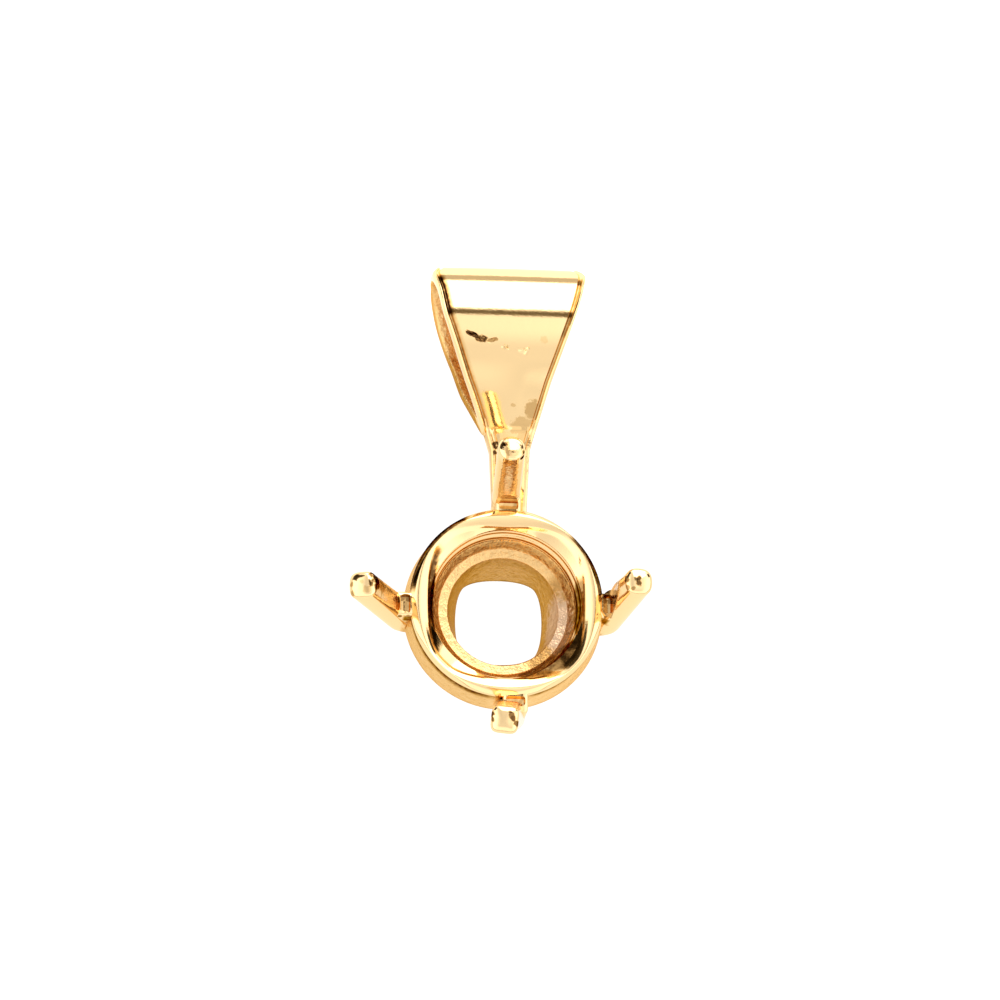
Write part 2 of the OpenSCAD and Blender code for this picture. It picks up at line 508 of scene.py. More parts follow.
def cupSection(angle):
    # radius and height all the way round the wall, from the foot of the throat
    hole = flatSided(angle, cup["holeCircle"], cup["holeFlat"])
    mouth = flatSided(angle, cup["mouthCircle"], cup["mouthFlat"])
    ledge, throat, skirt = cup["ledgeHeight"], cup["throat"], cup["skirtRadius"]
    lip, inner, heel = cup["holeRound"], cup["ledgeRound"], cup["footRound"]
    cove, foot = (cup["coveOuter"], cup["coveHeight"]), cup["footRadius"]
    points = span((hole, lip), (throat, ledge - inner), 16)
    points += arc((throat + inner, ledge - inner), inner, 180, 90, 3)
    points += span((throat + inner, ledge), (cup["ledgeOuter"] - 0.03, ledge + 0.03), 4)
    points += span((cup["ledgeOuter"], ledge + 0.04), cove, 5)
    points += ridgedWall(cove, (cup["bevelRadius"], cup["bevelHeight"]))
    points += railPoints(mouth)
    points += span((cup["railOuter"] - 0.13, cup["height"] - cup["railDrop"] - 0.28), (skirt, 1.45), 10)
    points += arc((skirt - cup["skirtRound"], cup["skirtHeight"]), cup["skirtRound"], 12, -50, 5)
    points += span((skirt - 0.115, 1.13), (foot + 0.05, cup["footHeight"] + 0.04), 12)
    points += span((foot, cup["footHeight"]), (foot, heel), 4)
    points += arc((foot - heel, heel), heel, 0, -90, 3)
    points += span((foot - heel, 0), (hole + lip, 0), 6)
    return points + arc((hole + lip, lip), lip, -90, -180, 3)


def makeCup():
    body = newObject("cup", turnedMesh("cup", cupSection, cup["stepsRound"]))
    body.data.materials.append(gold)
    return body


# The four prongs: each a bent bar from the back ring, set round the cup

prong = {
    "Foot Radius": 2.0,
    "Foot Height": 0.62,
    "Knee Height": 1.0,
    "Knee Bend": 0.35,
    "Tip Width": 0.9,
    "Tip Dome": 0.26,
}
prongSteps = {
    "rows": 90,
    "crowding": 1.6,
    "round": 40,
    "domeShape": 2.3,
}
prongBends = named(
    ("Direction", "Shift", "Knee Radius", "Girth", "Splay", "Lean", "Length", "Squareness"),
    [
        (0, 0.0, 3.38, 1.1, 7.6, 0, 5.03, 2.5),
        (90, -0.07, 3.22, 0.92, 16.4, -2.3, 4.74, 2.1),
        (180, 0.12, 3.22, 0.94, 24, 0, 4.45, 3.2),
        (270, 0.3, 3.24, 1.02, 18.2, 8, 4.62, 4.2),
    ],
)


def squareRing(tree, squareness):
    # a circle that is drawn out toward a square
    sizes = {"Resolution": prongSteps["round"], "Radius": 1.0}
    circle = addNode(tree, "GeometryNodeCurvePrimitiveCircle", sizes).outputs[0]
    point = addNode(tree, "GeometryNodeInputPosition", {}).outputs[0]
    sides = [calc(tree, "ABSOLUTE", side) for side in separate(tree, point)[:2]]
    powers = [calc(tree, "POWER", side, squareness) for side in sides]
    reach = calc(tree, "POWER", calc(tree, "ADD", *powers), calc(tree, "DIVIDE", -1, squareness))
    return movedTo(tree, circle, vectorCalc(tree, "SCALE", {0: point, "Scale": reach}))


def prongTree():
    tree, size = startTree("prongShape", {**prong, **prongBends[0]})
    lean, splay = calc(tree, "RADIANS", size["Lean"]), calc(tree, "RADIANS", size["Splay"])
    line = addNode(tree, "GeometryNodeCurvePrimitiveLine", {}).outputs[0]
    wires = {"Curve": line, "Count": prongSteps["rows"]}
    rows = addNode(tree, "GeometryNodeResampleCurve", wires, mode="COUNT").outputs[0]
    # the rows crowd together toward the tip, where the bar is domed
    factor = addNode(tree, "GeometryNodeSplineParameter", {}).outputs["Factor"]
    toGo = calc(tree, "SUBTRACT", 1, product(tree, factor, 0.994))
    eased = calc(tree, "SUBTRACT", 1, calc(tree, "POWER", toGo, prongSteps["crowding"]))
    outRun = calc(tree, "SUBTRACT", size["Knee Radius"], size["Foot Radius"])
    upRun = calc(tree, "SUBTRACT", size["Knee Height"], size["Foot Height"])
    footVector = combine(tree, outRun, 0, upRun)
    footLength = measure(tree, "LENGTH", {0: footVector})
    along = product(tree, eased, calc(tree, "ADD", footLength, size["Length"]))
    along = calc(tree, "SUBTRACT", along, footLength)
    above = calc(tree, "SMOOTH_MAX", along, 0, size["Knee Bend"])
    below = calc(tree, "SUBTRACT", along, above)
    level = calc(tree, "COSINE", lean)
    rise = combine(
        tree,
        product(tree, level, calc(tree, "SINE", splay)),
        product(tree, calc(tree, "SINE", lean), -1),
        product(tree, level, calc(tree, "COSINE", splay)),
    )
    foot = vectorCalc(tree, "NORMALIZE", {0: footVector})
    knee = combine(tree, size["Knee Radius"], size["Shift"], size["Knee Height"])
    upper = vectorCalc(tree, "SCALE", {0: rise, "Scale": above})
    lower = vectorCalc(tree, "SCALE", {0: foot, "Scale": below})
    place = vectorCalc(tree, "ADD", {0: knee, 1: vectorCalc(tree, "ADD", {0: upper, 1: lower})})
    share = calc(tree, "DIVIDE", above, size["Length"])
    thick = straightStep(tree, share, 0, 1, size["Girth"], size["Tip Width"])
    left = calc(tree, "DIVIDE", calc(tree, "SUBTRACT", size["Length"], along), size["Tip Dome"])
    domed = calc(tree, "SUBTRACT", 1, calc(tree, "MINIMUM", left, 1))
    domed = calc(tree, "SUBTRACT", 1, calc(tree, "POWER", domed, prongSteps["domeShape"]))
    rounding = calc(tree, "POWER", domed, 1 / prongSteps["domeShape"])
    # the thickness is stored before the bar is bent, while the rows' shares are still even
    wires = {"Curve": rows, "Radius": product(tree, thick, 0.5, rounding)}
    thickened = addNode(tree, "GeometryNodeSetCurveRadius", wires).outputs[0]
    wires = {
        "Curve": movedTo(tree, thickened, place),
        "Profile Curve": squareRing(tree, size["Squareness"]),
        "Scale": addNode(tree, "GeometryNodeInputRadius", {}).outputs[0],
        "Fill Caps": True,
    }
    bar = addNode(tree, "GeometryNodeCurveToMesh", wires).outputs[0]
    spin = combine(tree, 0, 0, calc(tree, "RADIANS", size["Direction"]))
    turned = addNode(tree, "GeometryNodeTransform", {"Geometry": bar, "Rotation": spin})
    endTree(tree, turned.outputs[0], gold)
    return tree


def makeProngs():
    tree = prongTree()
    made = []
    for i, bend in enumerate(prongBends):
        host = newObject("prongHost", bpy.data.meshes.new("prongHost"))
        mesh = runTree(host, tree, {**prong, **bend})
        bpy.data.objects.remove(host)
        closeAndTurnOut(mesh)
        made.append(newObject("prong%d" % i, mesh))
    return made


# The webs that join each prong to the cup

web = {
    "inner": 2.85,
    "outer": 3.7,
    "width": 0.84,
    "low": 1.2,
    "high": 2.72,
    "rounding": 0.14,
    "spacing": 0.09,
}


def blockByProng(name, bend, inner, outer, width, low, high, rounding, spacing):
    # a rounded block between two radii, turned to the side of one prong
    start = (inner, bend["Shift"] - width / 2, low)
    end = (outer, bend["Shift"] + width / 2, high)
    block = roundedBlock(name, start, end, rounding, spacing)
    block.data.transform(Matrix.Rotation(math.radians(bend["Direction"]), 4, "Z"))
    return block


def makeWebs():
    return [blockByProng("web", bend, **web) for bend in prongBends]


# The bail: a strip carried round a teardrop, tapered to its neck

bail = {
    "foldRadius": 2.03,
    "foldDistance": 9.4,
    "apex": 5.3,
    "apexRadius": 0.26,
    "thickness": 0.5,
    "rimLeft": 0.085,
    "grooveLeft": 0.18,
    "rimRight": 0.09,
    "grooveRight": 0.13,
    "grooveDepth": 0.07,
    "crown": 0.015,
    "stepsAcross": 28,
}
bailTaper = {
    "Fold Width": 5.04,
    "Neck Width": 1.3,
    "Shoulder Width": 1.87,
    "Taper Rate": 0.708,
    "Flare Rate": 0.46,
    "Softness": 0.3,
    "Neck Shift": 0.17,
    "Fold Shift": 0.04,
    "Back Trim": 0.16,
    "Front Spread": 0.1,
    "Crown Middle": 0.15,
    "Crown Rate": 0.055,
    "Crown Reach": 0.5,
    "Twist Rate": 0.08,
}
shoulder = bail["apex"] + 0.8  # where the straight taper starts
flareEnd = bail["foldDistance"] + 1.5  # where the strip has its full width
teardropSlope = math.asin(bail["foldRadius"] / (bail["foldDistance"] - bail["apex"]))


def bailPath():
    # middle line of the strip: the fold's arc and a small arc at the neck end
    middle, fold, small = bail["foldRadius"], bail["foldDistance"], bail["apexRadius"]
    radius = middle - bail["thickness"] / 2
    rise, run = math.cos(teardropSlope), math.sin(teardropSlope)
    far = fold - (radius - small) / run
    angle = math.degrees(teardropSlope)
    points = arc((fold, middle), radius, -90 - angle, 90 + angle, 120)
    start = (fold - radius * run, middle + radius * rise)
    end = (far - small * run, middle + small * rise)
    points += span(start, end, 34)
    points += arc((far, middle), small, 90 + angle, 270 - angle, 8)
    points += span((end[0], 2 * middle - end[1]), (start[0], 2 * middle - start[1]), 34)
    return [(y, z, 0) for y, z in points]


def edgeProfile(rim, groove):
    # from the panel's edge through the groove and over the rim to the strip's inner face
    half, depth, deep = bailTaper["Fold Width"] / 2, bail["thickness"] / 2, bail["grooveDepth"]
    panel = half - rim - groove
    return [
        (depth, panel),
        (depth - deep * 0.5, panel + groove * 0.15),
        (depth - deep, panel + groove * 0.35),
        (depth - deep, panel + groove * 0.6),
        (depth - deep * 0.5, panel + groove * 0.85),
        (depth - 0.012, half - rim),
        (depth, half - rim * 0.8),
        (depth + 0.002, half - rim * 0.6),
        (depth - 0.008, half - rim * 0.4),
        (depth - 0.03, half - rim * 0.22),
        (depth - 0.07, half - rim * 0.08),
        (depth - 0.12, half),
        (0, half),
        (-depth + 0.12, half),
        (-depth + 0.05, half - 0.02),
        (-depth + 0.012, half - 0.07),
        (-depth, half - 0.14),
    ]


def bailProfile():
    # depth through the strip and distance across it, at the fold's full width
    depth, steps = bail["thickness"] / 2, bail["stepsAcross"]
    right = edgeProfile(bail["rimRight"], bail["grooveRight"])
    left = [(d, -a) for d, a in reversed(edgeProfile(bail["rimLeft"], bail["grooveLeft"]))]
    start, end = left[-1][1], right[0][1]
    reach = max(-start, end)
    outer = []
    for i in range(1, steps):
        across = start + (end - start) * i / steps
        outer.append((depth + bail["crown"] * (1 - (across / reach) ** 2), across))
    start, end = right[-1][1], left[0][1]
    inner = [(-depth, start + (end - start) * i / steps) for i in range(1, steps)]
    return [(d, a, 0) for d, a in outer + right + inner + left]


def bailTree(profile):
    tree, size = startTree("bailStrip", bailTaper)
    path = addNode(tree, "GeometryNodeMeshToCurve", {0: size["Geometry"]}).outputs[0]
    upright = addNode(tree, "GeometryNodeSetCurveNormal", {0: path}, mode="Z_UP").outputs[0]
    shape = addNode(tree, "GeometryNodeObjectInfo", {"Object": profile}).outputs["Geometry"]
    section = addNode(tree, "GeometryNodeMeshToCurve", {0: shape}).outputs[0]
    wires = {"Curve": upright, "Profile Curve": section}
    strip = addNode(tree, "GeometryNodeCurveToMesh", wires).outputs[0]
    position = addNode(tree, "GeometryNodeInputPosition", {}).outputs[0]
    distance, height, across = separate(tree, position)
    # width at this distance: a straight taper from the shoulder, then a gentler one to the fold
    taper = product(tree, size["Taper Rate"], calc(tree, "SUBTRACT", distance, shoulder))
    taper = calc(tree, "ADD", size["Shoulder Width"], taper)
    flare = product(tree, size["Flare Rate"], calc(tree, "SUBTRACT", distance, flareEnd))
    flare = calc(tree, "ADD", size["Fold Width"], flare)
    wide = calc(tree, "SMOOTH_MIN", taper, flare, size["Softness"])
    wide = calc(tree, "SMOOTH_MIN", wide, size["Fold Width"], 0.1)
    wide = calc(tree, "SMOOTH_MAX", wide, size["Neck Width"], size["Softness"])
    half, full = product(tree, wide, 0.5), product(tree, size["Fold Width"], 0.5)
    # the fold's corners are rounded off
    half = calc(tree, "MULTIPLY_ADD", smoothStep(tree, distance, 10.95, 11.5), -0.26, half)
    # the panel narrows with the strip, the grooves and rims keep their width
    onLeft = calc(tree, "LESS_THAN", across, 0)
    rightEdge, leftEdge = bail["rimRight"] + bail["grooveRight"], bail["rimLeft"] + bail["grooveLeft"]
    edge = mixValue(tree, rightEdge, leftEdge, onLeft)
    panelFull = calc(tree, "SUBTRACT", full, edge)
    panelHere = calc(tree, "SUBTRACT", half, edge)
    off = calc(tree, "ABSOLUTE", across)
    onPanel = product(tree, calc(tree, "MINIMUM", off, panelFull), panelHere)
    onPanel = calc(tree, "DIVIDE", onPanel, panelFull)
    onRim = calc(tree, "MAXIMUM", calc(tree, "SUBTRACT", off, panelFull), 0)
    sideways = product(tree, calc(tree, "ADD", onPanel, onRim), calc(tree, "SIGN", across))
    lean = straightStep(tree, distance, bail["apex"], 7.4, size["Neck Shift"], size["Fold Shift"])
    # the back of the strip was filed narrower on its left side
    trim = product(
        tree,
        smoothStep(tree, sideways, -0.6, -2.2),
        smoothStep(tree, height, 2.4, 0.8),
        smoothStep(tree, distance, 7, 8.6),
        size["Back Trim"],
    )
    # and the front was left a little wider there, just below the fold
    spread = product(
        tree,
        smoothStep(tree, sideways, -0.2, -2.0),
        smoothStep(tree, height, 1.9, 2.6),
        smoothStep(tree, distance, 6.2, 9.2),
        size["Front Spread"],
        smoothStep(tree, distance, 10.5, 9.3),
    )
    moved = calc(tree, "ADD", calc(tree, "SUBTRACT", trim, spread), lean)
    moved = calc(tree, "ADD", sideways, moved)
    # low on the panel the front is rounded across and twisted a little
    aside = calc(tree, "SUBTRACT", moved, size["Crown Middle"])
    aside = calc(tree, "SMOOTH_MIN", aside, size["Crown Reach"], 0.3)
    twist = product(tree, size["Twist Rate"], calc(tree, "SUBTRACT", distance, bail["apex"]))
    lowDown = product(
        tree,
        smoothStep(tree, distance, 8, 6.8),
        smoothStep(tree, distance, 5.2, 5.8),
        smoothStep(tree, height, 2.03, 2.2),
    )
    drop = product(tree, aside, calc(tree, "MULTIPLY_ADD", aside, size["Crown Rate"], twist), lowDown)
    lowered = calc(tree, "MAXIMUM", calc(tree, "SUBTRACT", height, drop), 0)
    endTree(tree, movedTo(tree, strip, combine(tree, moved, distance, lowered)), gold)
    return tree


# The neck, which carries the strip's rims down to the cup

neck = {
    "start": 2.9,
    "step": 0.08,
    "slices": 43,
    "cupEdge": 3.05,
    "width": 1.1,
    "widening": 0.2,
    "flare": 0.55,
    "front": 2.06,
    "rise": 0.09,
    "back": 1.55,
}
neckRim = [
    (0.3, 0), (0.27, -0.04), (0.23, -0.05), (0.18, -0.03), (0.14, 0), (0.07, 0), (0.025, -0.03), (0, -0.1),
]  # from the groove's inner side over the rim: distance in from the edge, and height


def panelDrop(x, y):
    # the strip's rounding and twist, carried on over the neck
    aside = softMin(x - bailTaper["Crown Middle"], bailTaper["Crown Reach"], 0.3)
    drop = aside * (aside * bailTaper["Crown Rate"] + bailTaper["Twist Rate"] * (y - bail["apex"]))
    return drop * smoothShare(y, 8, 6.8) * smoothShare(y, 5.2, 5.8)


def neckSection(along):
    # one slice of the neck, all the way round
    past = max(along - bail["apex"], 0)
    share = min(max((along - neck["cupEdge"]) / (bail["apex"] - neck["cupEdge"]), 0), 1)
    half = (neck["width"] + neck["widening"] * share + neck["flare"] * past) / 2
    middle = bailTaper["Neck Shift"]
    strip = bail["foldRadius"] + (along - bail["apex"]) * math.tan(teardropSlope)
    strip -= 0.012 + 0.06 * max(along - 5.9, 0)  # just under the strip's own front
    front = softMax(neck["front"] + neck["rise"] * (along - 3), strip, 0.06)
    back = min(neck["back"], 2 * bail["foldRadius"] - strip)

    def onFront(x, lift):
        return (middle + x, along, front + lift - panelDrop(middle + x, along))

    ring = [onFront(half - inset, lift) for inset, lift in neckRim]
    ring += [(middle + half, along, front + (back - front) * k / 6) for k in range(1, 6)]
    ring += [(middle + half, along, back + 0.1), (middle + half - 0.03, along, back + 0.03)]
    ring += [(middle + (half - 0.1) * (1 - k / 4), along, back) for k in range(9)]
    ring += [(middle - half + 0.03, along, back + 0.03), (middle - half, along, back + 0.1)]
    ring += [(middle - half, along, front + (back - front) * k / 6) for k in range(5, 0, -1)]
    ring += [onFront(inset - half, lift) for inset, lift in reversed(neckRim)]
    inner = half - neckRim[0][0]
    ring += [onFront(2 * inner * k / 8 - inner, 0.004) for k in range(1, 8)]
    return ring


def makeBail():
    profile = newObject("bailProfile", outlineMesh("bailProfile", bailProfile()))
    path = newObject("bailPath", outlineMesh("bailPath", bailPath()))
    mesh = runTree(path, bailTree(profile), bailTaper)
    bpy.data.objects.remove(profile)
    bpy.data.objects.remove(path)
    closeAndTurnOut(mesh)
    strip = newObject("bailStrip", mesh)
    slices = [neckSection(neck["start"] + neck["step"] * i) for i in range(neck["slices"])]
    joint = newObject("bailNeck", ringedMesh("bailNeck", slices, False))
    joint.data.materials.append(gold)
    return [strip, joint]


# The cuts: the seat for the stone's edge, a pocket behind each prong and the dents

seat = {
    "radius": 3.46,
    "lift": 0.02,
    "cutInner": 1.0,
    "cutTop": 7.5,
    "stepsRound": 128,
}
pocket = {
    "inner": 3.16,
    "outer": seat["radius"],
    "width": 0.64,
    "low": cup["height"] - 0.42,
    "high": cup["height"] + seat["lift"] + 0.5,
    "rounding": 0.08,
    "spacing": 0.08,
}
dent = {
    "height": 0.1,
    "raggedness": 0.6,
    "grain": 2.2,
}


def makeCuts():
    inner, outer = seat["cutInner"], seat["radius"]
    low, high = cup["height"] + seat["lift"], seat["cutTop"]
    corners = ((inner, low), (outer, low), (outer, high), (inner, high))
    made = [newObject("seatCut", turnedMesh("seatCut", lambda angle: corners, seat["stepsRound"]))]
    return made + [blockByProng("pocket", bend, **pocket) for bend in prongBends]


def frontHeight(along):
    # height and slope of the bail's front at a distance from the setting's axis
    foldY, foldR = bail["foldDistance"], bail["foldRadius"]
    if along < foldY - foldR * math.sin(teardropSlope):
        return foldR + (along - bail["apex"]) * math.tan(teardropSlope), teardropSlope
    lean = math.asin(max(min((foldY - along) / foldR, 1), -1))
    return foldR + foldR * math.cos(lean), lean


def makeDents():
    made = []
    for mark in bailMarks:
        if mark["depth"] == 0:
            continue
        seed = Vector((mark["x"] * 9, mark["y"], 0))
        height, lean = frontHeight(mark["y"])
        mesh = bpy.data.meshes.new("dent")
        work = bmesh.new()
        bmesh.ops.create_icosphere(work, subdivisions=3, radius=1)
        for vert in work.verts:
            vert.co *= 1 + dent["raggedness"] * noise.noise(vert.co * dent["grain"] + seed)
        # drawn out so that the cut is as long and wide as the mark at the surface
        spread = 1 / math.sqrt(1 - (1 - mark["depth"] / dent["height"]) ** 2)
        size = (mark["length"] * spread, mark["width"] * spread, dent["height"], 1)
        place = Matrix.Translation((mark["x"], mark["y"], height)) @ Matrix.Rotation(lean, 4, "X")
        place = place @ Matrix.Translation((0, 0, dent["height"] - mark["depth"]))
        place = place @ Matrix.Rotation(math.radians(mark["turn"]), 4, "Z")
        work.transform(place @ Matrix.Diagonal(size))
        work.to_mesh(mesh)
        work.free()
        made.append(newObject("dent", mesh))
    return made


# Finish and painted shade: each point is marked as cast skin or polished, and by how much painted shade
# and painted dark reflections darken it
# The limits below are radii, distances and heights in millimetres, and angles in degrees

# shares of dull cast skin; its deeper gold is partly painted shade on the skirt and the prongs' inner
# faces
castSkin = {
    "skirt": 0.6,
    "shaft": 0.15,
    "topShaft": 0.35,
    "neck": 0.2,
}
shadeAndTarnish = {
    "recess": 0.5,
    "stripBack": 0.14,
    "stripBackLow": 0.2,
    "neckFront": 0.14,
    "neckFrontLeft": 0.08,
    "neckLeft": 0.2,
    "neckRight": 0.08,
    "prong": 0.4,
    "prongInner": 0.07,
    "topProngInner": 0.04,
}
# painted shade and painted dark reflections in and round the cup, as shares
cupPaintedShade = {
    "throat": 0.36,
    "throatTop": 0.1,
    "ledge": 0.05,
    "ledgeRight": 0.5,
    "cove": 0.62,
    "ridges": 0.05,
    "wallRight": 0.12,
    "edgeRight": 0.8,
    "edgeLower": 0.8,
    "bandLower": 0.85,
    "skirt": 0.02,
    "skirtLowerLeft": 0.14,
    "underRail": 0.12,
    "underRailSides": 0.6,
}


def castShare(point, normal):
    # 1 where the casting was never polished: in the cup and in the bail's loop, less elsewhere
    x, y, z = point
    radius = math.hypot(x, y)
    outward = (x * normal.x + y * normal.y) / max(radius, 0.01)
    inCup = smoothShare(radius, 2.42, 2.3) * smoothShare(z, 0.03, 0.1) * smoothShare(z, 2.0, 1.6)
    skirt = 0
    if outward > 0.1 and abs(y) < 3.5:
        skirt = castSkin["skirt"] * smoothShare(z, 2.5, 2.3)
        skirt *= smoothShare(radius, 2.1, 2.3) * smoothShare(radius, 3.4, 3.3)
    inward = -((y - bail["foldDistance"]) * normal.y + (z - bail["foldRadius"]) * normal.z)
    inLoop = 0
    if abs(normal.x) < 0.6:
        inLoop = smoothShare(y, 6.0, 6.3) * smoothShare(inward, 0.1, 0.4)
    backEdge = smoothShare(y, 5.6, 6.2) * smoothShare(z, 2.1, 1.8) * smoothShare(-normal.x, 0.2, 0.5)
    shaft = 0
    if z > 3 and radius < 5.3 and abs(x) + abs(y) > 3:
        shaft = castSkin["shaft"] * smoothShare(-outward, 0.5, 0.85) * smoothShare(z, 5.4, 5.0)
        if y > 3.3:
            shaft = castSkin["topShaft"] * smoothShare(-outward, 0.25, 0.6) * smoothShare(z, 5.3, 5.1)
    front = 0
    if normal.z > 0.9:
        front = castSkin["neck"] * smoothShare(y, 3.3, 3.5) * smoothShare(y, 5.95, 5.7)
        front *= smoothShare(z, 2.1, 2.2) * smoothShare(abs(x), 1.1, 0.9)
    return max(inCup, skirt, inLoop, backEdge, shaft, front)


def stripHalf(along):
    # half the strip's width at a distance from the setting's axis
    taper = bailTaper["Shoulder Width"] + bailTaper["Taper Rate"] * (along - shoulder)
    flare = bailTaper["Fold Width"] + bailTaper["Flare Rate"] * (along - flareEnd)
    wide = softMin(softMin(taper, flare, bailTaper["Softness"]), bailTaper["Fold Width"], 0.1)
    return softMax(wide, bailTaper["Neck Width"], bailTaper["Softness"]) / 2


def grooveShadeShare(x, y, z):
    # the grooves beside the bail's panel are painted brown as dark reflections, with a lighter line along
    # the left one
    if y < 6 or z < frontHeight(y)[0] - 0.2:
        return 0
    lean = min(max((7.4 - y) / (7.4 - bail["apex"]), 0), 1)
    middle = bailTaper["Neck Shift"] * lean + bailTaper["Fold Shift"] * (1 - lean)
    side = "Right" if x > middle else "Left"
    half = stripHalf(y)
    if side == "Left":
        half += bailTaper["Front Spread"] * smoothShare(y, 6.2, 9.2) * smoothShare(y, 10.5, 9.3)
    inset = (half - abs(x - middle) - bail["rim" + side]) / bail["groove" + side]
    inGroove = smoothShare(inset, -0.15, 0.1) * smoothShare(inset, 1.1, 0.85) * smoothShare(y, 10.95, 10.7)
    if side == "Right":
        darker = smoothShare(abs(y - 9.1), 0.55, 0.3)
        return inGroove * (0.42 + 0.3 * darker + 0.25 * smoothShare(y, 9.4, 9.8))
    # painted dark reflection right across near the fold, then a thinner line, then dull gold down to the
    # neck
    upper = smoothShare(y, 9.1, 9.5)
    line = smoothShare(abs(inset - 0.55), 0.35, 0.12) * smoothShare(y, 7.0, 7.8)
    return inGroove * max(upper, 0.3 + 0.35 * line + 0.15 * smoothShare(y, 7.8, 7.0))


# painted shade in the throat, on the ledge, in the cove and under the rail, and painted dark reflections
# on the walls, at the mouth and on the rail's outer flank
def cupShadeShare(x, y, z):
    dark = cupPaintedShade
    radius = math.hypot(x, y)
    angle = math.degrees(math.atan2(y, x)) % 360
    turned = (angle + 90) % 360  # 0 at the front of the cup, 90 at its right
    share = 0
    if radius < 1.86 and 0.02 < z < 1.49:
        share = dark["throat"] + dark["throatTop"] * smoothShare(z, 0.9, 1.4)
    elif radius < 2.14 and 1.44 < z < 1.57:
        share = dark["ledge"] + dark["ledgeRight"] * between(turned, 32, 118, 14)
    elif radius < 2.42 and 1.53 < z < 2.3:
        share = dark["cove"] * smoothShare(z, 1.54, 1.6) * smoothShare(z, 1.95, 1.72)
        share += dark["ridges"] * math.sin(z * 22) + dark["wallRight"] * between(turned, 25, 118, 14)
    mouth = flatSided(math.radians(angle), cup["mouthCircle"], cup["mouthFlat"])
    inset = mouth - radius
    if z < 2.78 and radius > 2.2:
        # a painted dark reflection just inside the mouth, widest at the two side flats
        left, right = between(turned, 235, 302), between(turned, 42, 106)
        reach = 0.1 + 0.2 * math.cos(math.radians(angle)) ** 4
        edge = smoothShare(inset, -0.02, 0.02) * smoothShare(inset, reach + 0.05, reach - 0.02)
        share = max(share, edge * max(left, dark["edgeRight"] * right))
        lower = between(turned, 12, 50, 10) + between(turned, 305, 325, 8)
        share = max(share, dark["edgeLower"] * lower * smoothShare(abs(inset - 0.04), 0.05, 0.02))
        share = max(share, dark["bandLower"] * between(turned, 15, 60, 8) * smoothShare(inset, 0.05, 0.14))
    # a painted dark reflection on the rail's outer flank
    if radius > 3.02 and z > 2.5:
        flank = max(between(angle, 118, 170), between(angle, 8, 42))
        share = max(share, flank * smoothShare(radius, 2.99, 3.04))
    # painted shade under the rail and on the skirt beneath it
    if radius > max(2.3, mouth + 0.05) and z < 2.64:
        lowerLeft = between(turned, 285, 345, 15)
        sides = dark["underRailSides"] * max(lowerLeft, between(turned, 20, 80))
        under = smoothShare(z, 2.0, 2.2) * (dark["underRail"] + sides)
        share = max(share, dark["skirt"] + dark["skirtLowerLeft"] * lowerLeft + under)
    return share


def shadeAndTarnishShare(point, normal, recess):
    # painted shade in recesses, inside the cup, under the rail, on the neck and on the prongs' inner
    # faces, and painted dark reflections in the bail's grooves
    x, y, z = point
    radius = math.hypot(x, y)
    share = shadeAndTarnish["recess"] * smoothShare(recess, 0.5, 0.95)
    if radius < 2.7 or (y > 5.8 and z < 2.5):
        share *= 0.2
    # painted shade along the inside of the back strip
    if y > 5.8 and z < 1.9 and normal.x < 0.5:
        edge = smoothShare(stripHalf(y) + x, 0.55, 0.3)
        edge *= shadeAndTarnish["stripBack"] + shadeAndTarnish["stripBackLow"] * smoothShare(y, 9.4, 8.2)
        share = 0.3 * share + edge
    if radius < 3.4:
        share = max(share, cupShadeShare(x, y, z))
    # painted shade on the neck, darker on its left
    if 3.4 < y < 5.9 and z > 2.1 and normal.z > 0.9:
        share = max(share, shadeAndTarnish["neckFront"] + shadeAndTarnish["neckFrontLeft"] * smoothShare(x, 0.3, 0))
    if 3.4 < y < 5.9 and 1.8 < z < 2.45 and abs(x) < 1.1:
        rims = shadeAndTarnish["neckLeft"] * smoothShare(-normal.x, 0.1, 0.4)
        share = max(share, rims + shadeAndTarnish["neckRight"] * smoothShare(normal.x, 0.1, 0.4))
    # painted shade on the prongs' inner faces
    if 3.3 < radius < 5.3 and z > 2.9:
        share *= shadeAndTarnish["prong"]
        inner = smoothShare(-(x * normal.x + y * normal.y) / radius, 0.6, 0.9)
        share = max(share, shadeAndTarnish["prongInner"] * inner * smoothShare(z, 5.4, 5.0))
        if y > 3.3:
            inner = smoothShare(-normal.y, 0.25, 0.6) * smoothShare(z, 5.3, 5.1)
            share = max(share, shadeAndTarnish["topProngInner"] * inner)
    return max(share, grooveShadeShare(x, y, z))


# how recessed a point is, for painted shade: the share of rays from it that meet metal again
recessRays = {
    "count": 18,
    "reach": 0.55,
    "turn": 2.39996,
}


def markFinishAndShade(body):
    mesh = body.data
    faces = [polygon.vertices for polygon in mesh.polygons]
    surface = bvhtree.BVHTree.FromPolygons([v.co for v in mesh.vertices], faces)
    rays = []
    for i in range(recessRays["count"]):
        height = 1 - (i + 0.5) / recessRays["count"]
        turn = i * recessRays["turn"]
        flat = math.sqrt(1 - height * height)
        rays.append(Vector((flat * math.cos(turn), flat * math.sin(turn), height)))
    skin = mesh.attributes.new("castSkin", "FLOAT", "POINT")
    dark = mesh.attributes.new("shadeAndTarnish", "FLOAT", "POINT")
    for vert in mesh.vertices:
        normal = vert.normal
        turn = normal.to_track_quat("Z", "Y")
        start = vert.co + normal * 0.01
        hits = [surface.ray_cast(start, turn @ ray, recessRays["reach"])[0] for ray in rays]
        met = sum(1 for hit in hits if hit is not None)
        skin.data[vert.index].value = castShare(vert.co, normal)
        dark.data[vert.index].value = shadeAndTarnishShare(vert.co, normal, met / len(rays))


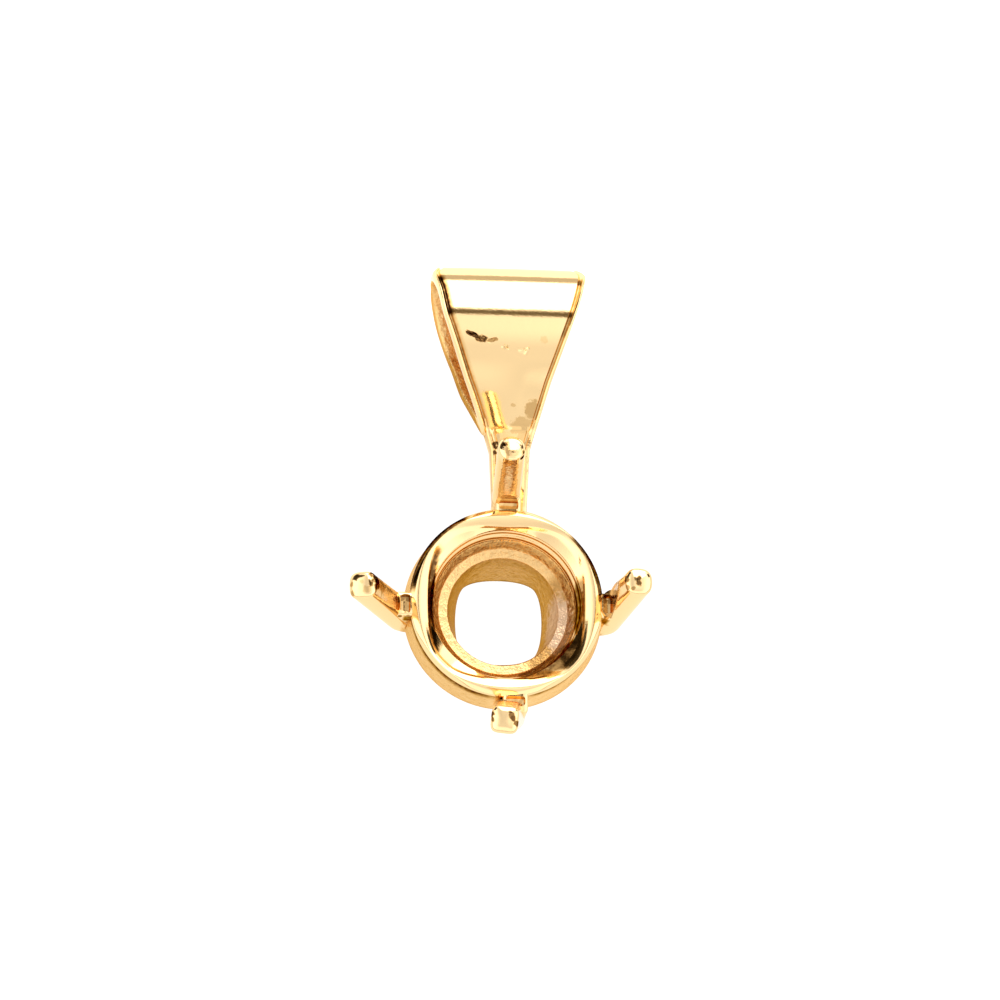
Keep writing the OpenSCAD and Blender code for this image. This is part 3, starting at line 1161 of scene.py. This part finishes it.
print("making the cup")
mount = makeCup()
print("making the prongs")
prongs = makeProngs()
webs = makeWebs()
print("making the bail")
bailParts = makeBail()
print("fusing the pieces")
fuse(mount, prongs + webs + bailParts, "UNION")
fuse(mount, makeCuts() + makeDents(), "DIFFERENCE")
mount.name = "pendantMount"
# marks the cast skin, and the painted shade in recesses and round the cup
print("working out where the casting stays rough and where tarnish gathers")
markFinishAndShade(mount)
mount.data.transform(Matrix.Scale(mm, 4))
mount.data.materials.clear()
mount.data.materials.append(gold)
for polygon in mount.data.polygons:
    polygon.material_index = 0
    polygon.use_smooth = True
mount.data.set_sharp_from_angle(angle=math.radians(32))
print("mesh", len(mount.data.vertices), len(mount.data.polygons))

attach(mount, "root")
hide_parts("pendant_mount")


# Stage, light and camera

stageFloor = {
    "reach": 0.4,  # metres
    "shade": 0.12,
    "glowNear": 1.0,
    "glowBeyondBail": 1.5,
    "glowFar": 0.5,
    "farTint": (1, 0.91, 0.78),
    "beyondFrom": 8,
    "beyondTo": 13,
    "fadeFrom": 27,
    "fadeTo": 34,
    "backFadeFrom": 21.5,
    "backFadeTo": 24,
}


def makeFloor():
    reach, shade = stageFloor["reach"], stageFloor["shade"]
    corners = [(-reach, -reach, 0), (reach, -reach, 0), (reach, reach, 0), (-reach, reach, 0)]
    mesh = bpy.data.meshes.new("floor")
    mesh.from_pydata(corners, [], [(0, 1, 2, 3)])
    floor = newObject("floor", mesh)
    material, tree, shader = startMaterial("paleFloor")
    spot = spotOf(tree)
    along = separate(tree, spot)[1]
    # evenly bright round the mount, dimmer far off, so that the gold has something dark to mirror
    beyond = smoothStep(tree, along, stageFloor["beyondFrom"], stageFloor["beyondTo"])
    distance = measure(tree, "LENGTH", {0: spot})
    away = smoothStep(tree, distance, stageFloor["fadeFrom"], stageFloor["fadeTo"])
    behind = smoothStep(tree, along, stageFloor["backFadeFrom"], stageFloor["backFadeTo"])
    away = calc(tree, "MAXIMUM", away, behind)
    glow = mixValue(tree, stageFloor["glowNear"], stageFloor["glowBeyondBail"], beyond)
    glow = mixValue(tree, glow, stageFloor["glowFar"], away)
    shader["Base Color"].default_value = (shade, shade, shade, 1)
    shader["Roughness"].default_value = 0.8
    shader["Specular IOR Level"].default_value = 0
    tint = mixColour(tree, (1, 1, 1), stageFloor["farTint"], away)
    tree.links.new(tint, shader["Emission Color"])
    tree.links.new(glow, shader["Emission Strength"])
    mesh.materials.append(material)


studio = {
    "frontGlow": 0.95,
    "lowGlow": 1.4,
    "sideGlow": 1.8,
    "dimTint": (1, 0.8, 0.5),
    "overheadLeft": 0.85,
    "overheadRight": 1.38,
}
# directions in degrees: sideways from +Y toward +X, and upward from the horizon
studioPanels = named(
    ("from", "to", "low", "high", "soft", "glow"),
    [
        (-12, 45, 66.5, 75.5, 2, 0.16),
        (-14, 34, 2, 63, 1.5, 3.4),
        (30, 50, 24, 56, 1.5, 3.0),
        (-66, -26, -20, 31, 3, 0.06),
        (46, 64, -20, 22, 3, 0.06),
    ],
)


def softEdges(tree, value, low, high, soft):
    # both are 1 between the two limits
    over = smoothStep(tree, value, low - soft, low + soft)
    return over, smoothStep(tree, value, high + soft, high - soft)


def makeStudio():
    world = bpy.data.worlds.new("studio")
    bpy.context.scene.world = world
    world.use_nodes = True
    tree = world.node_tree
    tree.nodes.clear()
    x, y, z = separate(tree, addNode(tree, "ShaderNodeTexCoord", {}).outputs["Generated"])
    upward = calc(tree, "DEGREES", calc(tree, "ARCSINE", z))
    sideways = calc(tree, "DEGREES", calc(tree, "ARCTAN2", x, y))
    sides = smoothStep(tree, calc(tree, "ABSOLUTE", x), 0.3, 0.8)
    glow = mixValue(tree, studio["lowGlow"], studio["frontGlow"], smoothStep(tree, upward, 30, 40))
    glow = mixValue(tree, glow, studio["sideGlow"], sides)
    toRight = smoothStep(tree, x, -0.25, 0.2)
    overhead = mixValue(tree, studio["overheadLeft"], studio["overheadRight"], toRight)
    glow = mixValue(tree, glow, overhead, smoothStep(tree, upward, 35, 80))
    for panel in studioPanels:
        across = softEdges(tree, sideways, panel["from"], panel["to"], panel["soft"])
        above = softEdges(tree, upward, panel["low"], panel["high"], panel["soft"])
        mask = product(tree, *across, *above)
        glow = mixValue(tree, glow, panel["glow"], mask)
    # the dim panels are a warm brown
    warmth = smoothStep(tree, glow, 0.9, 0.4)
    colour = mixColour(tree, (1, 1, 1), studio["dimTint"], warmth)
    light = addNode(tree, "ShaderNodeBackground", {"Color": colour, "Strength": glow})
    addNode(tree, "ShaderNodeOutputWorld", {"Surface": light.outputs[0]})


cameraView = {
    "from": (-0.10, -0.26, 0.96),
    "scale": 30.6,  # picture points to a millimetre
    "picture": 1000,
    "mouthAt": (507, 601.5),  # the middle of the cup's mouth, in picture points
    "lens": 1200,
    "sensor": 36,
}


def makeCamera():
    back = Vector(cameraView["from"]).normalized()
    up = (Vector((0, 1, 0)) - back * back.y).normalized()
    right = up.cross(back)
    scale, middle = cameraView["scale"], cameraView["picture"] / 2
    across, above = ((at - middle) / scale for at in cameraView["mouthAt"])
    target = Vector((0, 0, cup["height"])) - right * across + up * above
    data = bpy.data.cameras.new("camera")
    data.lens = cameraView["lens"]
    data.sensor_width = cameraView["sensor"]
    data.clip_start = 0.1
    data.clip_end = 5
    camera = newObject("camera", data)
    distance = cameraView["picture"] / scale * data.lens / data.sensor_width
    turn = Matrix((right, up, back)).transposed().to_4x4()
    camera.matrix_world = Matrix.Translation((target + back * distance) * mm) @ turn
    bpy.context.scene.camera = camera


makeFloor()
makeStudio()
makeCamera()
bpy.context.scene.view_settings.view_transform = "Standard"
bpy.context.scene.view_settings.look = "None"
